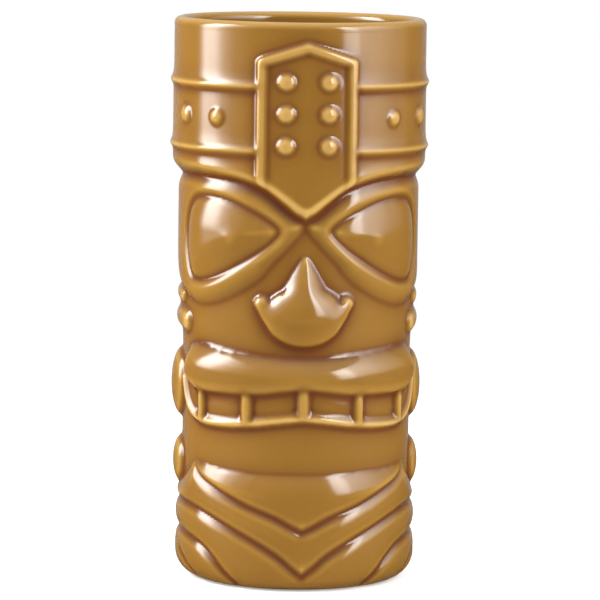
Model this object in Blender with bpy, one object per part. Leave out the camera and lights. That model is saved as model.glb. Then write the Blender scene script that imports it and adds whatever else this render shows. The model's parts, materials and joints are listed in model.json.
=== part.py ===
"""Ceramic tiki mug: a turned vessel, its dry foot, and the raised reliefs that dress it as an idol.

Sizes are millimetres. A place on the wall is an (angle, height) pair, in degrees and millimetres.
Angle 0 is the middle of the face, which looks along -Y, and angles grow towards +X. wrap() turns a
place and a radius into metres. Every relief is one closed solid, GAP clear of what is behind it.
"""

import math

import bmesh
import bpy

MM = 0.001

# Driving dimensions.
HEIGHT = 160.0
COLLAR_R = 35.7
WALL_R = 32.2
WALL = 3.4
LIP = 1.8
LIP_ROLL = 0.3
GAP = 0.3
FOOT_R = 26.8
FOOT_WIDTH = 5.2
FOOT_DEPTH = 2.0
FOOT_CLEAR = 0.5
FLOOR_Z = 6.4
FLOOR_ROUND = 6.0
BASE_ROUND = 6.0
HALF_TURN = 180
FULL_TURN = 360

# Where the reliefs stand, and how fine their meshes are.
SKIN = WALL_R + GAP
BAND_SKIN = COLLAR_R + GAP
STEP = 6
TURNS = 60
SHARP = 40
GAP_ANGLE = 0.7
SHOULDER = 0.45
MOST_ROUNDING = 0.4
STUD_SIDES = 10
DISC_SIDES = 22
ROUND_CROWN = [(1, 0.35), (0.9, 0.75), (0.55, 0.96)]
MIRROR_SIDES = {"left": -1, "right": 1}

# The headdress: a band between two ribs, with studs as (angle, radius), and a brim that dips to a point.
COLLAR_Z = 123.4
BRIM = [(0, 105.4), (10, 109.2), (20, 113.2), (35, 115.8), (55, 117.0), (75, 117.3), (180, 117.3)]
BRIM_EDGE = 1.6
BRIM_TOP_EDGE = 0.3
RIBS = {"headband_rib_lower": 124.0, "headband_rib_upper": 142.0}
RIB_WIDTH = 2.4
RIB_RISE = 0.5
BAND_Z = 133.2
CREST_STUD_R = 2.4
STUD_RISE = 1.2
STUD_CROWN = [(1, 0.15), (0.72, 0.78)]
BAND_STUDS = [(43.4, 2.4), (65.7, 2.7), (113.1, 2.5), (135.4, 2.5), (157.7, 2.5), (180, 2.5),
              (202.3, 2.5), (224.6, 2.5), (246.9, 2.5), (294.3, 2.7), (316.6, 2.4)]

# The crest plate on the brow, with its gabled frame and two columns of studs.
CREST_HALF = 22.7
CREST_FRAME = 4.0
CREST_FOOT = 1.2
CREST_SHOULDER = 149.6
CREST_PEAK = 153.9
CREST_BEAM = 2.4
CREST_EDGE = 0.6
FRAME_RISE = 0.9
PANEL_RISE = 0.45
CREST_STUD_ANGLE = 9.4
CREST_STUD_Z = 134.6
CREST_STUD_PITCH = 8.9

# The face. Outlines start at their sharpest corner.
EYE = [(13, 102), (25, 106.3), (40, 109.4), (57, 110.8), (68, 107.4), (72, 99), (69, 90.5), (59, 86.8),
       (40, 90.1), (23, 95.8)]
EYE_CENTRE = (46, 99)
EYE_TOP = 34.5
SOCKET = 1.04
SURROUND = [(2, 102), (22, 111.4), (40, 113.8), (62, 115.0), (86, 113.8), (96, 108), (98, 98),
            (92, 88.6), (81, 84.2), (66, 80.8), (48, 81.3), (25, 88.0), (9, 97)]
SURROUND_TOP = 34.1
SURROUND_EDGE = 0.3
NOSE = [(0, 94.3), (4.6, 90.7), (8.8, 86.4), (12.2, 82.8), (13.2, 79.8), (21, 83), (23.6, 80),
        (19.2, 75.5), (11, 71.9), (4, 70), (0, 69.6)]
NOSE_CENTRE = (0, 76)
NOSE_TOP = 37.4
NOSE_CROWN = [(1, 0.3), (0.88, 0.6), (0.6, 0.85), (0.3, 0.97)]
UPPER_LIP_TOP = [(0, 65.9), (20, 66.8), (45, 67.2), (60, 68.2), (68, 67.6), (74, 64)]
UPPER_LIP_BOTTOM = [(0, 57), (10, 56.6), (25, 55.5), (42, 55.3), (58, 55.4), (66, 57.6), (74, 61.5)]
UPPER_LIP_R = 35.2
UPPER_LIP_EDGE = 2.8
LOWER_LIP_TOP = [(0, 50.6), (24, 49.1), (40, 48.2), (55, 48.2), (63, 50.0), (69, 54), (74, 59.6)]
LOWER_LIP_BOTTOM = [(0, 48.3), (24, 46.9), (40, 46.0), (55, 46.0), (64, 47.4), (70, 50.4), (74, 55)]
LOWER_LIP_R = 34.2
LOWER_LIP_EDGE = 1.0
MOUTH_HALF = 74
TOOTH_HALF = 64
TOOTH_R = 33.4
TOOTH_EDGE = 1.2
DIVIDER_PITCH = 28
DIVIDERS = 5
DIVIDER_HALF = 2.4
DIVIDER_R = 34.7
DIVIDER_EDGE = 0.6

# The ears: two rolls as (start, end, height, half width), and two discs as (angle, height, radius, top).
EAR_ROLLS = {"ear_roll_upper": (83, 106, 80.6, 1.9), "ear_roll_lower": (66, 108, 74.6, 2.7)}
EAR_ROLL_R = 34.2
EAR_ROLL_EDGE = 1.6
EAR_DISCS = {"ear_plug": (95.0, 55.8, 9.8, 35.7), "ear_drop": (91.0, 34.9, 7.0, 35.05)}

# The hair at the back: locks that hang from the brim, longest in the middle.
LOCK_TIPS = [69.0, 54.0, 42.0, 54.0, 69.0]
LOCK_PITCH = 27.0
LOCK_HALF = 13.1
LOCK_DROP = 1.2
LOCK_POINT = 0.35
LOCK_R = 34.0
LOCK_EDGE = 2.6

# The chevron skirt. The three grooves between its bands are drawn from the middle of the face to the side.
BIB_Z = 33.8
BIB_HALF = 63
BIB_R = 34.0
BIB_EDGE = 2.0
FIRST_GROOVE = [(0, 16.8), (20, 21.6), (40, 26.5), (63, 31.9), (73, 28.6), (82, 26.2), (90, 25.8)]
SECOND_GROOVE = [(0, 4.8), (14, 10.3), (28, 15.4), (44, 18.9), (58, 21.2), (74, 22.1), (90, 22.1)]
THIRD_GROOVE = [(0, -14), (36, 2.4), (45, 7.6), (55, 11.2), (67, 13.1), (90, 13.8)]
CHEVRON_R = 33.9
CHEVRON_EDGE = 1.6
SIDE_SKIRT_R = 34.4
SKIRT_FOOT = 2.6
PANEL_START = 42
PANEL_EDGE = 2.4
GROOVE_HALF = 0.35

MATERIALS = {
    "amber_glaze": ((0.42, 0.20, 0.05, 1.0), 0.12),
    "thin_glaze": ((0.60, 0.36, 0.12, 1.0), 0.12),
    "bare_stoneware": ((0.62, 0.52, 0.40, 1.0), 0.75),
}


def clear_scene():
    for old in list(bpy.data.objects):
        bpy.data.objects.remove(old, do_unlink=True)


def material(name):
    """The named ceramic finish, made the first time it is asked for."""
    made = bpy.data.materials.get(name)
    if made is None:
        colour, roughness = MATERIALS[name]
        made = bpy.data.materials.new(name)
        made.use_nodes = True
        shader = made.node_tree.nodes["Principled BSDF"]
        shader.inputs["Base Color"].default_value = colour
        shader.inputs["Roughness"].default_value = roughness
        shader.inputs["Metallic"].default_value = 0.0
    return made


def wrap(angle, height, radius):
    """The point at this angle, height and radius, in metres."""
    turn = math.radians(angle)
    return (radius * math.sin(turn) * MM, -radius * math.cos(turn) * MM, height * MM)


def line(points, at):
    """The height at this angle on a smooth line through the points, level past its ends."""
    if at <= points[0][0]:
        return points[0][1]
    if at >= points[-1][0]:
        return points[-1][1]
    last = len(points) - 1
    slopes = []
    for i in range(len(points)):
        before, after = points[max(i - 1, 0)], points[min(i + 1, last)]
        slopes.append((after[1] - before[1]) / (after[0] - before[0]))
    i = max(k for k in range(last) if points[k][0] <= at)
    (x0, y0), (x1, y1) = points[i], points[i + 1]
    run = x1 - x0
    t = (at - x0) / run
    rise = y0 * (1 + 2 * t) * (1 - t) ** 2 + y1 * t * t * (3 - 2 * t)
    return rise + run * (slopes[i] * t * (1 - t) ** 2 + slopes[i + 1] * t * t * (t - 1))


def smooth_loop(points, steps):
    """A closed outline on a smooth curve through the points, with a corner at the first one."""
    count = len(points)
    loop = []
    for i in range(count):
        ends = [points[i], points[(i + 1) % count]]
        before = ends[0] if i == 0 else points[i - 1]
        after = ends[1] if i == count - 1 else points[(i + 2) % count]
        for k in range(steps):
            t = k / steps
            weights = (
                -0.5 * t + t * t - 0.5 * t**3,
                1 - 2.5 * t * t + 1.5 * t**3,
                0.5 * t + 2 * t * t - 1.5 * t**3,
                -0.5 * t * t + 0.5 * t**3,
            )
            four = (before, *ends, after)
            loop.append(tuple(sum(w * p[axis] for w, p in zip(weights, four)) for axis in (0, 1)))
    return loop


def mirrored(points, side):
    return [(side * angle, height) for angle, height in points]


def both_halves(points):
    """A loop from its right half, which starts and ends on the middle line."""
    return points + [(-angle, height) for angle, height in points[-2:0:-1]]


def finish(name, work, finish_name):
    """An object from a bmesh, with its faces turned outwards and its round faces shaded smooth."""
    bmesh.ops.recalc_face_normals(work, faces=work.faces)
    if work.calc_volume(signed=True) < 0:
        bmesh.ops.reverse_faces(work, faces=work.faces)
    data = bpy.data.meshes.new(name)
    work.to_mesh(data)
    work.free()
    data.shade_smooth()
    data.set_sharp_from_angle(angle=math.radians(SHARP))
    data.materials.append(material(finish_name))
    made = bpy.data.objects.new(name, data)
    bpy.context.scene.collection.objects.link(made)
    return made


def bend(work):
    """Bends a flat shape, drawn as (angle, radius, height), round the mug, after a cut every STEP degrees."""
    angles = [vert.co.x for vert in work.verts]
    for k in range(math.ceil(min(angles) / STEP), math.floor(max(angles) / STEP) + 1):
        parts = [*work.verts, *work.edges, *work.faces]
        bmesh.ops.bisect_plane(work, geom=parts, dist=1e-4, plane_co=(k * STEP, 0, 0), plane_no=(1, 0, 0))
    for vert in work.verts:
        vert.co = wrap(vert.co.x, vert.co.z, vert.co.y)


def skin(work, rows, closed):
    """Faces between neighbouring rows of corners, and over the two ends unless the rows are closed."""
    for near, far in zip(rows, rows[1:] + rows[:1] if closed else rows[1:]):
        for i in range(max(len(near), len(far))):
            j = (i + 1) % max(len(near), len(far))
            corners = (near[i % len(near)], near[j % len(near)], far[j % len(far)], far[i % len(far)])
            work.faces.new(dict.fromkeys(corners))
    if not closed:
        for end in (rows[0], rows[-1]):
            if len(end) > 2:
                work.faces.new(end)


def loft(name, sections, closed, finish_name):
    """A relief through sections of (angle, height, radius). A section of one place closes the shape."""
    work = bmesh.new()
    rows = [[work.verts.new((angle, radius, height)) for angle, height, radius in row] for row in sections]
    skin(work, rows, closed)
    bend(work)
    return finish(name, work, finish_name)


def spread(start, end):
    """The angles from start to end, with every multiple of STEP between them."""
    inside = range(math.floor(start / STEP) + 1, math.ceil(end / STEP))
    return [start] + [k * STEP for k in inside] + [end]


def rounded_section(angle, low, high, base, top, edges):
    """The outline of a raised band where it is cut across, with its two outer corners rounded off."""
    shoulder = base + SHOULDER * (top - base)
    most = MOST_ROUNDING * (high - low)
    low_top, high_top = low + min(edges[0], most), high - min(edges[1], most)
    outside = [(angle, low, shoulder), (angle, low_top, top), (angle, high_top, top), (angle, high, shoulder)]
    return [(angle, low, base), *outside, (angle, high, base)]


def band(name, angles, lower, upper, base, top, edge, finish_name="amber_glaze"):
    """A raised band that follows two lines along the wall."""
    sections = []
    for angle in angles:
        sections.append(rounded_section(angle, lower(angle), upper(angle), base, top, (edge, edge)))
    return loft(name, sections, False, finish_name)


def hoop(name, lower, upper, base, top, edges, finish_name="amber_glaze"):
    """A raised band that goes right round the mug."""
    work = bmesh.new()
    rows = []
    for i in range(TURNS):
        angle = FULL_TURN * i / TURNS
        section = rounded_section(angle, lower(angle), upper(angle), base, top, edges)
        rows.append([work.verts.new(wrap(*place)) for place in section])
    skin(work, rows, True)
    return finish(name, work, finish_name)


def boss(name, centre, outline, base, top, crown, finish_name="amber_glaze"):
    """A domed button with this outline. Its crown lists (share of width, share of rise) from rim to top."""
    sections = [[(angle, height, base) for angle, height in outline]]
    for scale, share in crown:
        radius = base + share * (top - base)
        ring = []
        for place in outline:
            angle, height = (middle + scale * (here - middle) for middle, here in zip(centre, place))
            ring.append((angle, height, radius))
        sections.append(ring)
    sections.append([(*centre, top)])
    return loft(name, sections, False, finish_name)


def turned(name, profile, finish_name):
    """A solid of revolution from a closed (radius, height) profile. A radius of 0 is on the axis."""
    work = bmesh.new()
    rows = []
    for radius, height in profile:
        turns = range(1) if radius == 0 else range(TURNS)
        rows.append([work.verts.new(wrap(FULL_TURN * i / TURNS, height, radius)) for i in turns])
    skin(work, rows, profile[0][0] > 0)
    return finish(name, work, finish_name)


def arc(centre, radii, start, end, steps):
    """Points on part of an ellipse, as (radius, height) pairs."""
    points = []
    for i in range(steps + 1):
        turn = math.radians(start + (end - start) * i / steps)
        points.append((centre[0] + radii[0] * math.cos(turn), centre[1] + radii[1] * math.sin(turn)))
    return points


def vessel():
    """The wall and floor in one: straight below, wider above the brow, with a rolled rim."""
    inner_wall, inner_collar = WALL_R - WALL, COLLAR_R - 2 * LIP - LIP_ROLL
    slot_r = FOOT_R + GAP
    profile = [(0, FOOT_DEPTH + GAP), (slot_r, FOOT_DEPTH + GAP)]
    profile += arc((slot_r, BASE_ROUND + FOOT_CLEAR), (WALL_R - slot_r, BASE_ROUND), -90, 0, 4)
    profile += [(WALL_R, COLLAR_Z), (COLLAR_R, COLLAR_Z), (COLLAR_R, HEIGHT - LIP)]
    profile += arc((COLLAR_R - LIP, HEIGHT - LIP), (LIP, LIP), 0, 180, 6)[1:]
    profile += [(inner_collar, HEIGHT - LIP - 5), (inner_collar, COLLAR_Z), (inner_wall, COLLAR_Z - 6)]
    profile += arc((inner_wall - FLOOR_ROUND, FLOOR_Z + FLOOR_ROUND), (FLOOR_ROUND, FLOOR_ROUND), 0, -90, 3)
    profile.append((0, FLOOR_Z))
    turned("vessel", profile, "amber_glaze")


def foot_ring():
    """The unglazed ring that the mug stands on, let into the underside."""
    inner, corner = FOOT_R - FOOT_WIDTH, 0.3
    profile = [(FOOT_R, corner), (FOOT_R, FOOT_DEPTH), (inner, FOOT_DEPTH), (inner, corner)]
    profile += [(inner + corner, 0), (FOOT_R - corner, 0)]
    turned("foot_ring", profile, "bare_stoneware")


def circle(angle, height, radius, wall_r, sides):
    """A round outline on the wall."""
    places = []
    for i in range(sides):
        turn = 2 * math.pi * i / sides
        along = math.degrees(radius * math.cos(turn) / wall_r)
        places.append((angle + along, height + radius * math.sin(turn)))
    return places


def stud(name, angle, height, radius, base):
    outline = circle(angle, height, radius, base, STUD_SIDES)
    boss(name, (angle, height), outline, base, base + STUD_RISE, STUD_CROWN, "thin_glaze")


def crest_edge(angle, drop):
    """The gabled top of the crest, moved down by drop."""
    slope = (CREST_PEAK - CREST_SHOULDER) / CREST_HALF
    return CREST_PEAK - drop - slope * abs(angle)


def brim_line(angle):
    return line(BRIM, abs((angle + HALF_TURN) % FULL_TURN - HALF_TURN))


def headdress():
    hoop("headdress_brim", brim_line, lambda a: COLLAR_Z - GAP, SKIN, COLLAR_R, (BRIM_EDGE, BRIM_TOP_EDGE))
    rib_start, half = CREST_HALF + GAP_ANGLE, RIB_WIDTH / 2
    for name, height in RIBS.items():
        band(name, spread(rib_start, FULL_TURN - rib_start), lambda a, z=height: z - half,
             lambda a, z=height: z + half, BAND_SKIN, BAND_SKIN + RIB_RISE, RIB_WIDTH / 3, "thin_glaze")
    for i, (angle, radius) in enumerate(BAND_STUDS):
        stud(f"headband_stud_{i + 1}", angle, BAND_Z, radius, BAND_SKIN)


def crest():
    """A gabled frame on two posts, and the studded panel inside it."""
    inner = CREST_HALF - CREST_FRAME
    corner = 0.05
    angles = sorted({*spread(-CREST_HALF, CREST_HALF), -inner - corner, -inner, inner, inner + corner})

    def frame_lower(angle):
        return crest_edge(angle, CREST_BEAM) if abs(angle) <= inner else brim_line(angle) + CREST_FOOT

    band("crest_frame", angles, frame_lower, lambda a: crest_edge(a, 0), BAND_SKIN,
         BAND_SKIN + FRAME_RISE, CREST_EDGE, "thin_glaze")
    panel_half = inner - GAP_ANGLE
    band("crest_panel", spread(-panel_half, panel_half), lambda a: brim_line(a) + CREST_FOOT,
         lambda a: crest_edge(a, CREST_BEAM + GAP), BAND_SKIN, BAND_SKIN + PANEL_RISE, CREST_EDGE)
    places = [(side * CREST_STUD_ANGLE, row) for row in (1, 0, -1) for side in (-1, 1)]
    for i, (angle, row) in enumerate(places):
        stud(f"crest_stud_{i + 1}", angle, CREST_STUD_Z + row * CREST_STUD_PITCH, CREST_STUD_R,
             BAND_SKIN + PANEL_RISE + GAP)


def reach(outline, centre, through):
    """Where the ray from centre through a place meets the outline."""
    across, up = through[0] - centre[0], through[1] - centre[1]
    best = 0
    for start, end in zip(outline, outline[1:] + outline[:1]):
        run, rise = end[0] - start[0], end[1] - start[1]
        turn = across * rise - up * run
        if turn:
            far = ((start[0] - centre[0]) * rise - (start[1] - centre[1]) * run) / turn
            share = ((start[0] - centre[0]) * up - (start[1] - centre[1]) * across) / turn
            if 0 <= share <= 1:
                best = max(best, far)
    return (centre[0] + best * across, centre[1] + best * up)


def eyes():
    """An almond eye in a broad raised surround, on each side."""
    eye, surround = smooth_loop(EYE, 2), smooth_loop(SURROUND, 2)
    shoulder = SKIN + SHOULDER * (SURROUND_TOP - SKIN)
    for side_name, side in MIRROR_SIDES.items():
        boss(f"eye_{side_name}", (side * EYE_CENTRE[0], EYE_CENTRE[1]), mirrored(eye, side), SKIN, EYE_TOP,
             ROUND_CROWN)
        sections = []
        for place in eye:
            inner = [middle + SOCKET * (here - middle) for middle, here in zip(EYE_CENTRE, place)]
            outer = reach(surround, EYE_CENTRE, inner)
            corners = ((0, SKIN), (0, shoulder), (SURROUND_EDGE, SURROUND_TOP),
                       (1 - SURROUND_EDGE, SURROUND_TOP), (1, shoulder), (1, SKIN))
            ring = []
            for share, radius in corners:
                angle, height = (start + share * (end - start) for start, end in zip(inner, outer))
                ring.append((side * angle, height, radius))
            sections.append(ring)
        loft(f"eye_surround_{side_name}", sections, True, "amber_glaze")


def nose():
    boss("nose", NOSE_CENTRE, both_halves(NOSE), SKIN, NOSE_TOP, NOSE_CROWN)


def mirrored_line(points):
    return lambda angle: line(points, abs(angle))


def mouth():
    lip_top, lip_bottom = mirrored_line(UPPER_LIP_TOP), mirrored_line(UPPER_LIP_BOTTOM)
    jaw_top, jaw_bottom = mirrored_line(LOWER_LIP_TOP), mirrored_line(LOWER_LIP_BOTTOM)
    span = spread(-MOUTH_HALF, MOUTH_HALF)
    band("upper_lip", span, lip_bottom, lip_top, SKIN, UPPER_LIP_R, UPPER_LIP_EDGE)
    band("lower_lip", span, jaw_bottom, jaw_top, SKIN, LOWER_LIP_R, LOWER_LIP_EDGE, "thin_glaze")

    def tooth_top(angle):
        return lip_bottom(angle) - GAP

    def tooth_bottom(angle):
        return jaw_top(angle) + GAP

    band("tooth_row", spread(-TOOTH_HALF, TOOTH_HALF), tooth_bottom, tooth_top, SKIN, TOOTH_R, TOOTH_EDGE)
    for i in range(DIVIDERS):
        middle = (i - DIVIDERS // 2) * DIVIDER_PITCH
        width = spread(middle - DIVIDER_HALF, middle + DIVIDER_HALF)
        band(f"tooth_divider_{i + 1}", width, tooth_bottom, tooth_top, TOOTH_R + GAP, DIVIDER_R,
             DIVIDER_EDGE, "thin_glaze")


def ears():
    for side_name, side in MIRROR_SIDES.items():
        for part_name, (near, far, height, half) in EAR_ROLLS.items():
            angles = sorted(side * angle for angle in spread(near, far))
            band(f"{part_name}_{side_name}", angles, lambda a, z=height, h=half: z - h,
                 lambda a, z=height, h=half: z + h, SKIN, EAR_ROLL_R, EAR_ROLL_EDGE)
        for part_name, (angle, height, radius, top) in EAR_DISCS.items():
            outline = mirrored(circle(angle, height, radius, WALL_R, DISC_SIDES), side)
            boss(f"{part_name}_{side_name}", (side * angle, height), outline, SKIN, top, ROUND_CROWN)


def hair():
    for i, tip in enumerate(LOCK_TIPS):
        middle = HALF_TURN + (i - len(LOCK_TIPS) // 2) * LOCK_PITCH
        band(f"hair_lock_{i + 1}", spread(middle - LOCK_HALF, middle + LOCK_HALF),
             lambda a, m=middle, z=tip: z + LOCK_POINT * abs(a - m), lambda a: brim_line(a) - LOCK_DROP, SKIN,
             LOCK_R, LOCK_EDGE)


def folded_line(points):
    """A line that is drawn from the middle of the front to the side, and repeats on all four quarters."""

    def height(angle):
        from_front = abs((angle + HALF_TURN) % FULL_TURN - HALF_TURN)
        return line(points, min(from_front, HALF_TURN - from_front))

    return height


def skirt():
    """The chevrons below the chin: a pointed bib, two bands that run right round, and two side panels."""
    first, second, third = (folded_line(groove) for groove in (FIRST_GROOVE, SECOND_GROOVE, THIRD_GROOVE))
    for name, middle in (("bib_front", 0), ("bib_back", HALF_TURN)):
        band(name, spread(middle - BIB_HALF, middle + BIB_HALF), lambda a: first(a) + GROOVE_HALF,
             lambda a: BIB_Z, SKIN, BIB_R, BIB_EDGE)
    hoop("chevron_upper", lambda a: second(a) + GROOVE_HALF, lambda a: first(a) - GROOVE_HALF, SKIN,
         CHEVRON_R, (CHEVRON_EDGE, CHEVRON_EDGE))
    hoop("chevron_lower", lambda a: max(third(a) + GROOVE_HALF, SKIRT_FOOT),
         lambda a: second(a) - GROOVE_HALF, SKIN, CHEVRON_R, (CHEVRON_EDGE, CHEVRON_EDGE))
    for side_name, side in MIRROR_SIDES.items():
        angles = sorted(side * angle for angle in spread(PANEL_START, HALF_TURN - PANEL_START))
        band(f"skirt_panel_{side_name}", angles, lambda a: SKIRT_FOOT, lambda a: third(a) - GROOVE_HALF, SKIN,
             SIDE_SKIRT_R, PANEL_EDGE)


def main():
    clear_scene()
    vessel()
    foot_ring()
    headdress()
    crest()
    eyes()
    nose()
    mouth()
    ears()
    hair()
    skirt()


main()
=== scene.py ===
"""A glazed ceramic tiki mug: a cast skin of relief under a translucent amber glaze.

Lengths are millimetres until the meshes are made. A place on the wall is (angle, height): degrees from
the middle of the face, which looks along -Y, and millimetres above the table. The relief is drawn on a
flat grid of the right half, mirrored, softened as slip casting and glaze soften it, and wrapped round
the mug. Then the skin is cut into one closed solid for each feature, and the vessel runs on behind them.
"""

import json
import math

import bpy
import numpy as np
from mathutils import Matrix, Vector


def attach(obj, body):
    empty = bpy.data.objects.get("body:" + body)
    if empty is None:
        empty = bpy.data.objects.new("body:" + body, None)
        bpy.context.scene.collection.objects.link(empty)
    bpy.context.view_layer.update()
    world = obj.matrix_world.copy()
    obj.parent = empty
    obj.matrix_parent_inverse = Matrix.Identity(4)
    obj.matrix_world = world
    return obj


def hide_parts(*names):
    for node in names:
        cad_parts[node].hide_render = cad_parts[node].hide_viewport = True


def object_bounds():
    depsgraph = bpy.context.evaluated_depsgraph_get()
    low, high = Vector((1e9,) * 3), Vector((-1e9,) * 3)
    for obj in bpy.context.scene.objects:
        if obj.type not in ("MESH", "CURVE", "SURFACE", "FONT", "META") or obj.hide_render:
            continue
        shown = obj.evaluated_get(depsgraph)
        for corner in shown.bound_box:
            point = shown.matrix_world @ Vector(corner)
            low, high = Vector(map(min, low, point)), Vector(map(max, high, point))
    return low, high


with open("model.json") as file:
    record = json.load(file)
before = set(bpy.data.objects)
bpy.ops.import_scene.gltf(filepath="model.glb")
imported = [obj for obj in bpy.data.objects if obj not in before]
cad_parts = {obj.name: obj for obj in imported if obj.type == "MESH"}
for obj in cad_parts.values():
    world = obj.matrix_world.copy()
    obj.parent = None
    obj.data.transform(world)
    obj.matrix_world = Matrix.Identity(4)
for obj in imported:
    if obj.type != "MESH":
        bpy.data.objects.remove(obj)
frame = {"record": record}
CAD_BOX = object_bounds()

# ---------------------------------------------------------------- sizes
MM = 0.001
HEIGHT = CAD_BOX[1][2] / MM
WALL_R = 32.45  # the plain wall of the face
COLLAR_RISE = 3.5  # the headband and collar stand out this far
WALL = 3.7
FOOT_R = 26.9  # where the rounded base meets the foot
BASE_ROUND = 7.5
FLOOR_Z = 6.0  # the floor of the cup, which meets its wall in a round of the same size
LIP_OUTSIDE = 35.85  # the radius of the mug at the lip
LIP_R = 1.95  # the lip is rolled to this radius
LIP_SKIN = 1.2  # how thick the collar's piece is at the lip
BACK = 0.2  # the backs of the relief's pieces lie this far inside the plain wall
BAND_BACK = 2.0  # behind the headband they move outwards by this much
BAND_BACK_Z = (120, 125)  # between these heights
UNDERSIDE = ([2, 12, 21.5, 21.9, 26.5], [2.3, 2.3, 2.3, 0.45, 0.45])  # radii and heights
CUP_FLOOR = [15, 8, 2]  # radii of the rings on the cup's floor
INNER_ROWS = 24
LIP_ROWS = 12
FILLET_ROWS = 10
BASE_ROWS = 27

ROW = 0.4  # the grid's step up the wall
TURNS = 540  # and its steps round the wall
HALF = TURNS // 2
ARC = math.radians(1) * 34.0  # millimetres to a degree, at the relief
BLOCK = 9  # hidden faces are merged in squares of this many steps

A, Z = np.meshgrid(np.arange(HALF + 1) * 360.0 / TURNS, np.arange(0, HEIGHT + ROW / 2, ROW))
S = A * ARC
FOLD = np.minimum(A, 180 - A)  # the skirt repeats behind the ears


# ---------------------------------------------------------------- shape helpers
def curve(points, steps=6, closed=False):
    """Points on a smooth curve through (angle, height) places, as (arc, height) in millimetres."""
    pts = [np.array((angle * ARC, z), float) for angle, z in points]
    n = len(pts)
    out = []
    for i in range(n if closed else n - 1):
        p1 = pts[i]
        p2 = pts[(i + 1) % n]
        p0 = pts[i - 1] if (closed or i > 0) else 2 * p1 - p2
        p3 = pts[(i + 2) % n] if (closed or i + 2 < n) else 2 * p2 - p1
        for t in np.arange(steps) / steps:
            out.append(0.5 * (2 * p1 + (p2 - p0) * t + (2 * p0 - 5 * p1 + 4 * p2 - p3) * t * t
                              + (3 * p1 - p0 - 3 * p2 + p3) * t ** 3))
    if not closed:
        out.append(pts[-1])
    return np.array(out)


def line_height(points, angle):
    """The height of a smooth line at these angles."""
    path = curve(points, 8)
    return np.interp(angle * ARC, path[:, 0], path[:, 1])


def distance(path, closed=False, arc=S):
    """Distance from each place of the wall to a path, in millimetres."""
    best = np.full(S.shape, 1e9)
    ends = np.vstack([path[1:], path[:1]]) if closed else path[1:]
    for p, q in zip(path, ends):
        d = q - p
        length = max(float(d @ d), 1e-12)
        t = np.clip(((arc - p[0]) * d[0] + (Z - p[1]) * d[1]) / length, 0, 1)
        np.minimum(best, (arc - p[0] - t * d[0]) ** 2 + (Z - p[1] - t * d[1]) ** 2, out=best)
    return np.sqrt(best)


def inside(path):
    """Distance from each place to a closed outline, positive inside it."""
    hit = np.zeros(S.shape, bool)
    for p, q in zip(path, np.vstack([path[1:], path[:1]])):
        if p[1] == q[1]:
            continue
        across = (p[1] > Z) != (q[1] > Z)
        hit ^= across & (S < (q[0] - p[0]) * (Z - p[1]) / (q[1] - p[1]) + p[0])
    d = distance(path, True)
    return np.where(hit, d, -d)


def dome(t):
    """A quarter circle: 0 at its edge, 1 from t = 1 on."""
    return np.sqrt(np.clip(1 - (1 - np.clip(t, 0, 1)) ** 2, 0, 1))


def swell(t):
    """A softer step than a dome, which leaves its edge at a slope."""
    return np.sin(math.pi / 2 * np.clip(t, 0, 1))


def half_round(d):
    """The height of a half circle of radius 1 at a distance d from its middle."""
    return np.sqrt(np.clip(1 - d ** 2, 0, 1))


def ease(low, high, x):
    """A smooth change from 0 to 1."""
    t = np.clip((x - low) / (high - low), 0, 1)
    return t * t * (3 - 2 * t)


def bell(x, width):
    """A smooth bump of this width."""
    return np.exp(-(x / width) ** 2)


def join(a, b, fillet):
    """The higher of two fields, with a fillet where they cross."""
    h = np.clip(0.5 + 0.5 * (a - b) / fillet, 0, 1)
    return b + (a - b) * h + fillet * h * (1 - h)


# ---------------------------------------------------------------- the relief
NONE = -1.0  # a layer's height where the feature isn't
OVER = 1e-3  # a feature drawn on the band is the highest layer by this much
TEMPLE = 0.85 * bell(Z - 78.5, 6.5) * bell(A - 90, 17)  # the plain wall swells a little at the sides
layers = {"vessel": TEMPLE}


def layer(name, shown, height):
    """Adds a feature: its height above the plain wall where it is shown."""
    layers[name] = np.where(shown, height, NONE)


RIBS = {"headband_rib_upper": 142.2, "headband_rib_lower": 124.2}
RIB = 0.8  # a rib's height, and its width as a bell
RIB_HALF = 1.3  # how far its piece reaches from its middle
COLLAR_Z = 123  # the collar's piece begins here and the brim's ends
BAND_STUD_Z = 133.3
BAND_STUDS = [(43.4, 2.2), (65.7, 2.5), (113.1, 2.4), (135.4, 2.4), (157.7, 2.4), (180, 2.4)]
CREST_ANGLE = 20.4
CREST_SHOULDER = 148.9
CREST_PEAK = 153.0
CREST_FOOT = 112.8
CREST_FRAME = 1.45  # half of the frame's width
CREST_FRAME_RISE = 1.15
CREST_STUD_ANGLE = 9.4
CREST_STUD = (2.4, 1.5)  # radius and height
BAND_STUD_RISE = 1.1
CREST_STUD_HEIGHTS = (143.5, 134.6, 125.75)
BRIM = [(0, 105.3), (5, 106.7), (10.5, 109.3), (16.5, 112.0), (23, 114.1), (35, 116.0), (52, 117.0),
        (70, 117.3), (180, 117.3)]
BRIM_SLOPE = 3.0  # the brim reaches its full height this far above its line
BRIM_BEAD = 0.5


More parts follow.
